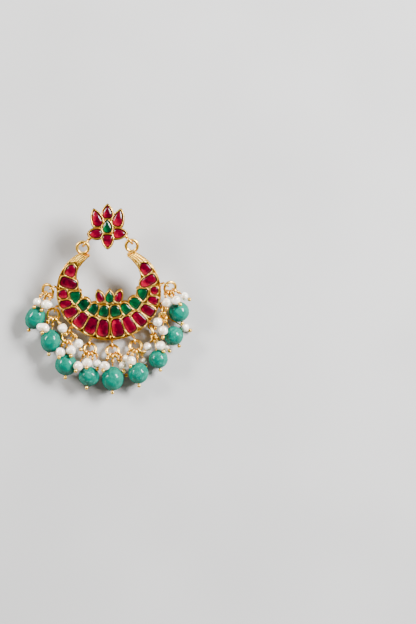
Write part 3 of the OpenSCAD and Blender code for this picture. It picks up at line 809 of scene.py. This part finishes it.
# %% [markdown]
# Solder runs up the roots of the stud's two hooks and of the nine rim eyes. Without it the wires would look
# as if they were stuck in. A drop of solder could be a stretched ball, but a joint is a skirt, wide on the
# plate and thin on the stem, so its half outline is drawn and spun. The outline is closed inside the stem, so
# that the skirt is a solid.

# %% Solder
HOOK_ROOTS = [((-5.36, -2.18), (-6.85, -3.95)), ((5.68, -1.60), (7.07, -3.20))]
# radius, distance from the root
SKIRT = [(0.30, -0.30), (0.78, -0.30), (0.70, 0.05), (0.58, 0.30), (0.51, 0.60), (0.48, 1.0), (0.30, 1.0),
         (0.30, -0.30)]
SKIRT_SIDES, HOOK_SKIRT, EYE_SKIRT, LEAST_SKIRT, EYE_REACH = 20, 1.05, 0.75, 0.3, 1.25


def skirt(bm, root, towards, size, length):
    turned(bm, [(r * size, h * length) for r, h in SKIRT], aimed(root, towards - root), SKIRT_SIDES)


bm = bmesh.new()
for root, loop in HOOK_ROOTS:
    skirt(bm, Vector((*root, HOOK_Z)), Vector((*loop, HOOK_Z)), HOOK_SKIRT, 1.0)
for x, y, *_ in DROP:
    out = Vector((x, y, 0)) - MOON_CENTRE
    rim = edge_at(math.degrees(math.atan2(out.x, -out.y)), OUTER)
    root = MOON_CENTRE + out.normalized() * rim
    root.z = slope_z(root.y)
    skirt(bm, root, Vector((x, y, slope_z(y))), EYE_SKIRT, max(LEAST_SKIRT, out.length - rim - EYE_REACH))
piece("solder", bm, gold_wire, "gold")

# %% [markdown]
# A ring is a small circle spun round an axis. A torus from Blender's menu would be as good for a whole ring,
# but a jump ring is a wire that was cut with a saw and bent shut, which leaves a fine cut. So the circle is
# spun a little less than a full turn, and its two ends are filled.

# %% Jump rings
def hoop(bm, radius, wire, place, sides, steps, sweep=math.tau):
    """Bends round wire in a circle round place's Z axis, from its X direction on."""
    section = place @ Matrix.Translation((radius, 0, 0)) @ Matrix.Rotation(math.pi / 2, 4, "X")
    verts = bmesh.ops.create_circle(bm, segments=sides, radius=wire, matrix=section)["verts"]
    edges = {edge for vert in verts for edge in vert.link_edges}
    bmesh.ops.spin(bm, geom=verts + list(edges), cent=place.translation, axis=place.col[2].to_3d(),
                   angle=sweep, steps=steps, use_merge=sweep == math.tau)
    if sweep < math.tau:
        bmesh.ops.holes_fill(bm, edges=[edge for edge in bm.edges if edge.is_boundary])


LINK_WIRE, LINK_SIDES, LINK_STEPS = 0.47, 14, 46
ALL_BUT_CUT = math.radians(359)
for i, link in enumerate(links, 1):
    bm = bmesh.new()
    place = placed(link.middle, -link.along, link.square)
    hoop(bm, LINK_RADIUS, LINK_WIRE, place, LINK_SIDES, LINK_STEPS, ALL_BUT_CUT)
    piece(f"jump_ring_{i}_wire", bm, gold_wire, "gold", [f"jump_ring_{i}"])

# %% [markdown]
# A head pin is one length of wire: it goes once round the jump ring, is wound round its own neck, runs
# through the bead and ends in a ball. One long bent wire could make all of it, but its parts meet at sharp
# turns, where a bevelled curve pinches. So the loop is a ring, the shank a straight wire, the winding a
# helix and the end a ball, each where the CAD model has it.

# %% Head pins
PIN_WIRE, PIN_BALL, BALL_GAP, SHANK, SHANK_START = 0.22, 0.6, 0.06, 0.20, -0.05
LOOP_WIRE, LOOP_SIDES, LOOP_STEPS = 0.30, 8, 26
COIL_WIRE, COIL_RADIUS, COIL_START, COIL_LENGTH = 0.20, 0.36, 0.16, 0.80
COIL_TURNS, COIL_STEPS = 2.4, 34


def head_pin(bm, link, seat, middle, half):
    """A pin on a seat of the ring, for a bead or pearl of half the length around its middle."""
    start, place = link.pin_start(seat, middle), link.place(seat)
    out = (start - place).normalized()
    hoop(bm, LOOP_RADIUS, LOOP_WIRE, placed(place, out, link.wire(seat)), LOOP_SIDES, LOOP_STEPS)
    reach = (middle - start).length + half + PIN_BALL + BALL_GAP
    neck = aimed(start, middle - start)
    bent_wire(bm, [neck @ Vector((0, 0, z)) for z in (SHANK_START, reach)], SHANK)
    helix = []
    for k in range(COIL_STEPS + 1):
        turn = COIL_TURNS * math.tau * k / COIL_STEPS
        x, y = COIL_RADIUS * math.cos(turn), COIL_RADIUS * math.sin(turn)
        helix.append(neck @ Vector((x, y, COIL_START + COIL_LENGTH * k / COIL_STEPS)))
    bent_wire(bm, helix, COIL_WIRE, detail=1)
    bmesh.ops.create_uvsphere(bm, u_segments=14, v_segments=10, radius=PIN_BALL,
                              matrix=neck @ Matrix.Translation((0, 0, reach)))


for i, link in enumerate(links, 1):
    bm = bmesh.new()
    head_pin(bm, link, link.seat, link.bead_middle(), link.bead[3] / 2)
    piece(f"bead_pin_{i}_wire", bm, gold_wire, "gold", [f"bead_pin_{i}"])

# %% [markdown]
# Beads and pearls are drilled ovals. A ball from Blender's menu would have no hole, so an oval half outline,
# closed along the wall of the hole, is spun round the pin. Noise then pushes its surface in and out, as far
# as the real one is uneven, and a few are drawn out to one side.

# %% Drilled ovals
# radius of the hole
HOLE = PIN_WIRE + 0.12
# the share of a lump that the whole oval gives up, so that lumps don't make it bigger
SINK = 0.35
WIDE_LUMPS, SMALL_LUMPS, SMALL_SHARE, POINT_SHARPNESS = 0.7, 1.7, 0.5, 4


def oval(bm, place, radius, half, sides, steps, lump, point=Vector()):
    """Drilled oval round place's Z axis, uneven by lump and drawn out along point."""
    first = math.asin(HOLE / radius)
    around = [first + (math.pi - 2 * first) * k / steps for k in range(steps + 1)]
    profile = [(radius * math.sin(t), -half * math.cos(t)) for t in around]
    old = set(bm.verts)
    turned(bm, profile + [profile[0]], place, sides)
    for vert in bm.verts:
        if vert in old:
            continue
        ray = (vert.co - place.translation).normalized()
        swell = noise.noise(vert.co * WIDE_LUMPS) + SMALL_SHARE * noise.noise(vert.co * SMALL_LUMPS)
        drawn = point.length * max(0.0, ray.dot(point.normalized())) ** POINT_SHARPNESS
        vert.co += ray * (lump * (swell - SINK) + drawn)


print("holes are", 2 * HOLE, "mm wide")

# %% [markdown]
# The beads are a dyed teal stone, some clear and even, some clouded with milky crystals. A picture could be
# wrapped round each bead, but it would pinch at the holes, and a cloud runs through the stone as the dye
# does. A wide swirling one mixes two teals and a fine one adds the milk and the dark spots. The polish is a
# clear coat over a body that hardly reflects by itself. At the outline a ball mirrors the far wall, which
# would wash out the teal, so the coat fades there.

# %% Teal stone
DARK_TEAL, DEEP_TEAL, TEAL, MILK = rgb(0, 70, 56), rgb(0, 92, 75), rgb(0, 114, 93), rgb(80, 164, 150)


def teal_look(milk):
    """milk is how much of the stone is clouded."""
    def build(tree, place):
        band = cloud(tree, place, size=3.0, detail=5, rough=0.6, swirl=1.6)
        mottle = cloud(tree, place, size=0.9, detail=5, rough=0.65)
        colour = band.ramp(0.3, 0.7).mix(DEEP_TEAL, TEAL)
        colour = (mottle.ramp(0.5, 0.72) * milk).mix(colour, MILK)
        colour = (mottle.ramp(0.46, 0.3) * 0.6).mix(colour, DARK_TEAL)
        facing = make(tree, "ShaderNodeLayerWeight", {"Blend": 0.5}, output=1)
        return {"Base Color": colour, "Roughness": 0.3 + 0.2 * mottle, "Normal": bump(tree, mottle, 0.006),
                "Coat Weight": 0.42 * facing.ramp(0.75, 0.3)}
    return build


def teal(name, milk):
    return material(name, teal_look(milk), IOR=1.1, Coat_IOR=1.5, Coat_Roughness=0.06)


teal_clear = teal("teal_clear", 0.12)
teal_milky = teal("teal_milky", 0.6)

# %% [markdown]
# Each drop ends in one bead, which lies on the floor with its pin slanting down into it. Copies of one bead
# would be quicker, but the real ones differ in size and are nearly, not quite, round. So each is made by
# itself, and because the noise is read at its own place, no two are alike.

# %% Beads
BEAD_SIDES, BEAD_STEPS, BEAD_LUMP, BEAD_SKIN = 44, 30, 0.035, 0.02

for i, link in enumerate(links, 1):
    middle, (width, length) = link.bead_middle(), link.bead[2:]
    place = aimed(middle, middle - link.pin_start(link.seat, middle))
    bm = bmesh.new()
    oval(bm, place, width / 2 + BEAD_SKIN, length / 2 + BEAD_SKIN, BEAD_SIDES, BEAD_STEPS, BEAD_LUMP)
    piece(f"bead_{i}_polished", bm, teal_milky if i in MILKY else teal_clear, "teal_bead", [f"bead_{i}"])

# %% [markdown]
# The pearls are baroque: small, lumpy and cream, and their dents are painted brown as shade. Their glow comes
# from many thin layers, which mirror more than glass does. A thin film in the shader could stand for them,
# but it adds rainbow colours that these pearls hardly have. One strong coat of a high index does it, and a
# little light that goes under the skin keeps the shaded side soft.

# %% Pearl skin
CREAM, WHITE, DENT_SHADE = rgb(238, 222, 192), rgb(252, 247, 238), rgb(186, 150, 100)


def pearl_look(tree, place):
    lump = cloud(tree, place, size=1.1, detail=2, rough=0.4)
    skin = cloud(tree, place, size=0.45, detail=3, rough=0.5)
    bloom = cloud(tree, place, size=2.4, detail=2)
    colour = bloom.ramp(0.35, 0.65).mix(CREAM, WHITE)
    # dents painted brown, as painted shade
    colour = (lump.ramp(0.5, 0.3) * 0.7).mix(colour, DENT_SHADE)
    return {"Base Color": colour, "Roughness": 0.2 + 0.14 * skin,
            "Normal": bump(tree, lump + 0.4 * skin, 0.14)}


pearl = material("pearl", pearl_look, IOR=1.6, Coat_Weight=1.0, Coat_IOR=2.0, Coat_Roughness=0.12,
                 Subsurface_Weight=0.1, Subsurface_Scale=0.0005)

# %% [markdown]
# Two or three pearls sit on every jump ring, each on a pin of its own. Each cluster is one piece, as in the
# CAD model, and so are its pins: the pearls of a ring could be separate pieces, but nothing ever parts them.
# Two of them are pear shaped on the real earring and are drawn out.

# %% Pearls
PEARL_SIDES, PEARL_STEPS, PEARL_LUMP, PEARL_SKIN, PEARL_ENDS = 36, 24, 0.15, 0.05, 0.04
# drop and pearl of its ring, counted from 0: which way and how far it is drawn out
POINTED = {(1, 0): Vector((0.65, -0.05, 0)), (2, 0): Vector((-1.15, 0.35, 0.1))}

for i, link in enumerate(links, 1):
    pins, pearls = bmesh.new(), bmesh.new()
    for k, (_, seat, *at, width, length) in enumerate(row for row in PEARL if row[0] == i):
        middle = Vector(at)
        head_pin(pins, link, seat, middle, length / 2)
        oval(pearls, aimed(middle, middle - link.pin_start(seat, middle)), width / 2 + PEARL_SKIN,
             length / 2 + PEARL_ENDS, PEARL_SIDES, PEARL_STEPS, PEARL_LUMP, POINTED.get((i, k), Vector()))
    piece(f"pearl_pins_{i}_wire", pins, gold_wire, "gold", [f"pearl_pins_{i}"])
    piece(f"pearls_{i}_lumpy", pearls, pearl, "pearl", [f"pearls_{i}"])

# %% [markdown]
# What is left of the CAD model is right as it is: the stud's setting with its post and hooks, and the
# crescent's plate, cell walls, rings and rim eyes. Making them again would gain nothing, because bezels, rim
# and solder already cover their edges. They only need their gold, painted dark as shade from the plate up to
# just under the bezels.

# %% Settings
# the settings are painted dark as shade from the plate up to just under the bezels
gold_moon = gold("gold_moon", gold_look(depth=0.05, grain=0.45, dull=0.22, recess=(to_slope, 1.3, 2.2)))
gold_stud = gold("gold_stud", gold_look(depth=0.05, grain=0.45, dull=0.22, recess=(to_stud, 1.0, 2.2)))
for name, look in (("stud_setting", gold_stud), ("crescent_setting", gold_moon)):
    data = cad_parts[name].data
    data.materials.clear()
    data.materials.append(look)
    print(name, "in", look.name)

# %% [markdown]
# The earring lies on a plain grey surface. A single white plane would look like an empty screen, so the
# floor has a grey of its own, with a very faint cloud in it, and it is rough, so that it takes the light
# softly. It lies a hair under the beads, so that no two faces share one height.

# %% Floor
FLOOR_SIZE, FLOOR_GAP = 1.5, 0.00002
FLOOR_DARK, FLOOR_PALE = rgb(180, 179, 178), rgb(187, 186, 185)
bm = bmesh.new()
bmesh.ops.create_grid(bm, x_segments=1, y_segments=1, size=FLOOR_SIZE)
mesh = bpy.data.meshes.new("floor")
bm.to_mesh(mesh)
bm.free()
floor = bpy.data.objects.new("floor", mesh)
floor.location = (0, 0, -FLOOR_GAP)
bpy.context.scene.collection.objects.link(floor)


def floor_look(tree, place):
    return {"Base Color": cloud(tree, place, size=60, detail=2).ramp(0.3, 0.7).mix(FLOOR_DARK, FLOOR_PALE)}


mesh.materials.append(material("floor", floor_look, Roughness=0.8))

# %% [markdown]
# Each bead has a large highlight at its upper right and a smaller one at its upper left, and the soft
# shadows fall to the left. So there are two softboxes, a strong one high on the right and a weaker one on
# the left. Area lights are used because their size is what makes a shadow soft and a highlight wide. Both
# point at the middle of the earring.

# %% Softboxes
MIDDLE = (0.0, -0.025, 0.0)
COOL, WARM = (0.985, 0.99, 1.0), (1.0, 0.99, 0.97)


def softbox(name, place, size, power, colour):
    light = bpy.data.lights.new(name, "AREA")
    light.shape, light.size, light.size_y = "RECTANGLE", size[0], size[1]
    light.energy, light.color = power, colour
    obj = bpy.data.objects.new(name, light)
    obj.location = place
    obj.rotation_euler = (Vector(place) - Vector(MIDDLE)).to_track_quat("Z", "Y").to_euler()
    bpy.context.scene.collection.objects.link(obj)
    print(name, power, "watts", size)


softbox("key", place=(0.58, 0.28, 0.47), size=(0.42, 0.20), power=30.0, colour=COOL)
softbox("left_box", place=(-0.60, 0.28, 0.37), size=(0.34, 0.13), power=10.5, colour=WARM)

# %% [markdown]
# Polished metal shows what is around it, so the room matters as much as the lamps. It could be a picture of
# a studio, but a few tones by height do as well. The far wall is bright and puts light edges on the gold,
# the tent above it is softer, and straight overhead it is dark, as over a camera. The tops of the stones
# mirror that dark patch and so keep their deep colour.

# %% Room
FAR_WALL, TENT, OVERHEAD = (4.0, 3.95, 3.85, 1), (1.3, 1.23, 1.15, 1), (0.04, 0.036, 0.032, 1)
ROOM_LIGHT = 0.475
world = bpy.data.worlds.new("world")
world.use_nodes = True
tree = world.node_tree
background = next(n for n in tree.nodes if n.type == "BACKGROUND")
direction = make(tree, "ShaderNodeTexCoord", output=0)
height = make(tree, "ShaderNodeSeparateXYZ", {0: direction}, output=2)
walls = height.ramp(0.04, 0.28).mix(FAR_WALL, TENT)
plug(tree, background.inputs["Color"], height.ramp(0.4, 0.65).mix(walls, OVERHEAD))
background.inputs["Strength"].default_value = ROOM_LIGHT
bpy.context.scene.world = world
print("room", len(tree.nodes), "nodes")

# %% [markdown]
# The camera hangs straight above the floor, so in the picture the earring has the same outline as in a
# drawing. A camera without perspective would do that exactly, but a long lens from 1.5 m is nearly the same
# and is what a photographer would use. One pixel of the 416 by 624 frame is 0.32 mm on the earring, and the
# post is at pixel (107.7, 230.7): these give the lens and the place.

# %% Camera
PIXEL, WIDE, HIGH = 0.32 * MM, 416, 624
POST_X, POST_Y = 107.7, 230.7
SENSOR, DISTANCE, SUBJECT = 36.0, 1.5, 0.006
camera_data = bpy.data.cameras.new("camera")
camera_data.sensor_fit = "VERTICAL"
camera_data.sensor_height = SENSOR
camera_data.lens = SENSOR * DISTANCE / (HIGH * PIXEL)
camera = bpy.data.objects.new("camera", camera_data)
camera.location = ((WIDE / 2 - POST_X) * PIXEL, (POST_Y - HIGH / 2) * PIXEL, DISTANCE + SUBJECT)
bpy.context.scene.collection.objects.link(camera)
bpy.context.scene.camera = camera
print("lens", round(camera_data.lens, 1), "camera", [round(c, 4) for c in camera.location])

# %% [markdown]
# Dressing must not change the earring's size.

# %% [markdown]
# The earring is dressed.
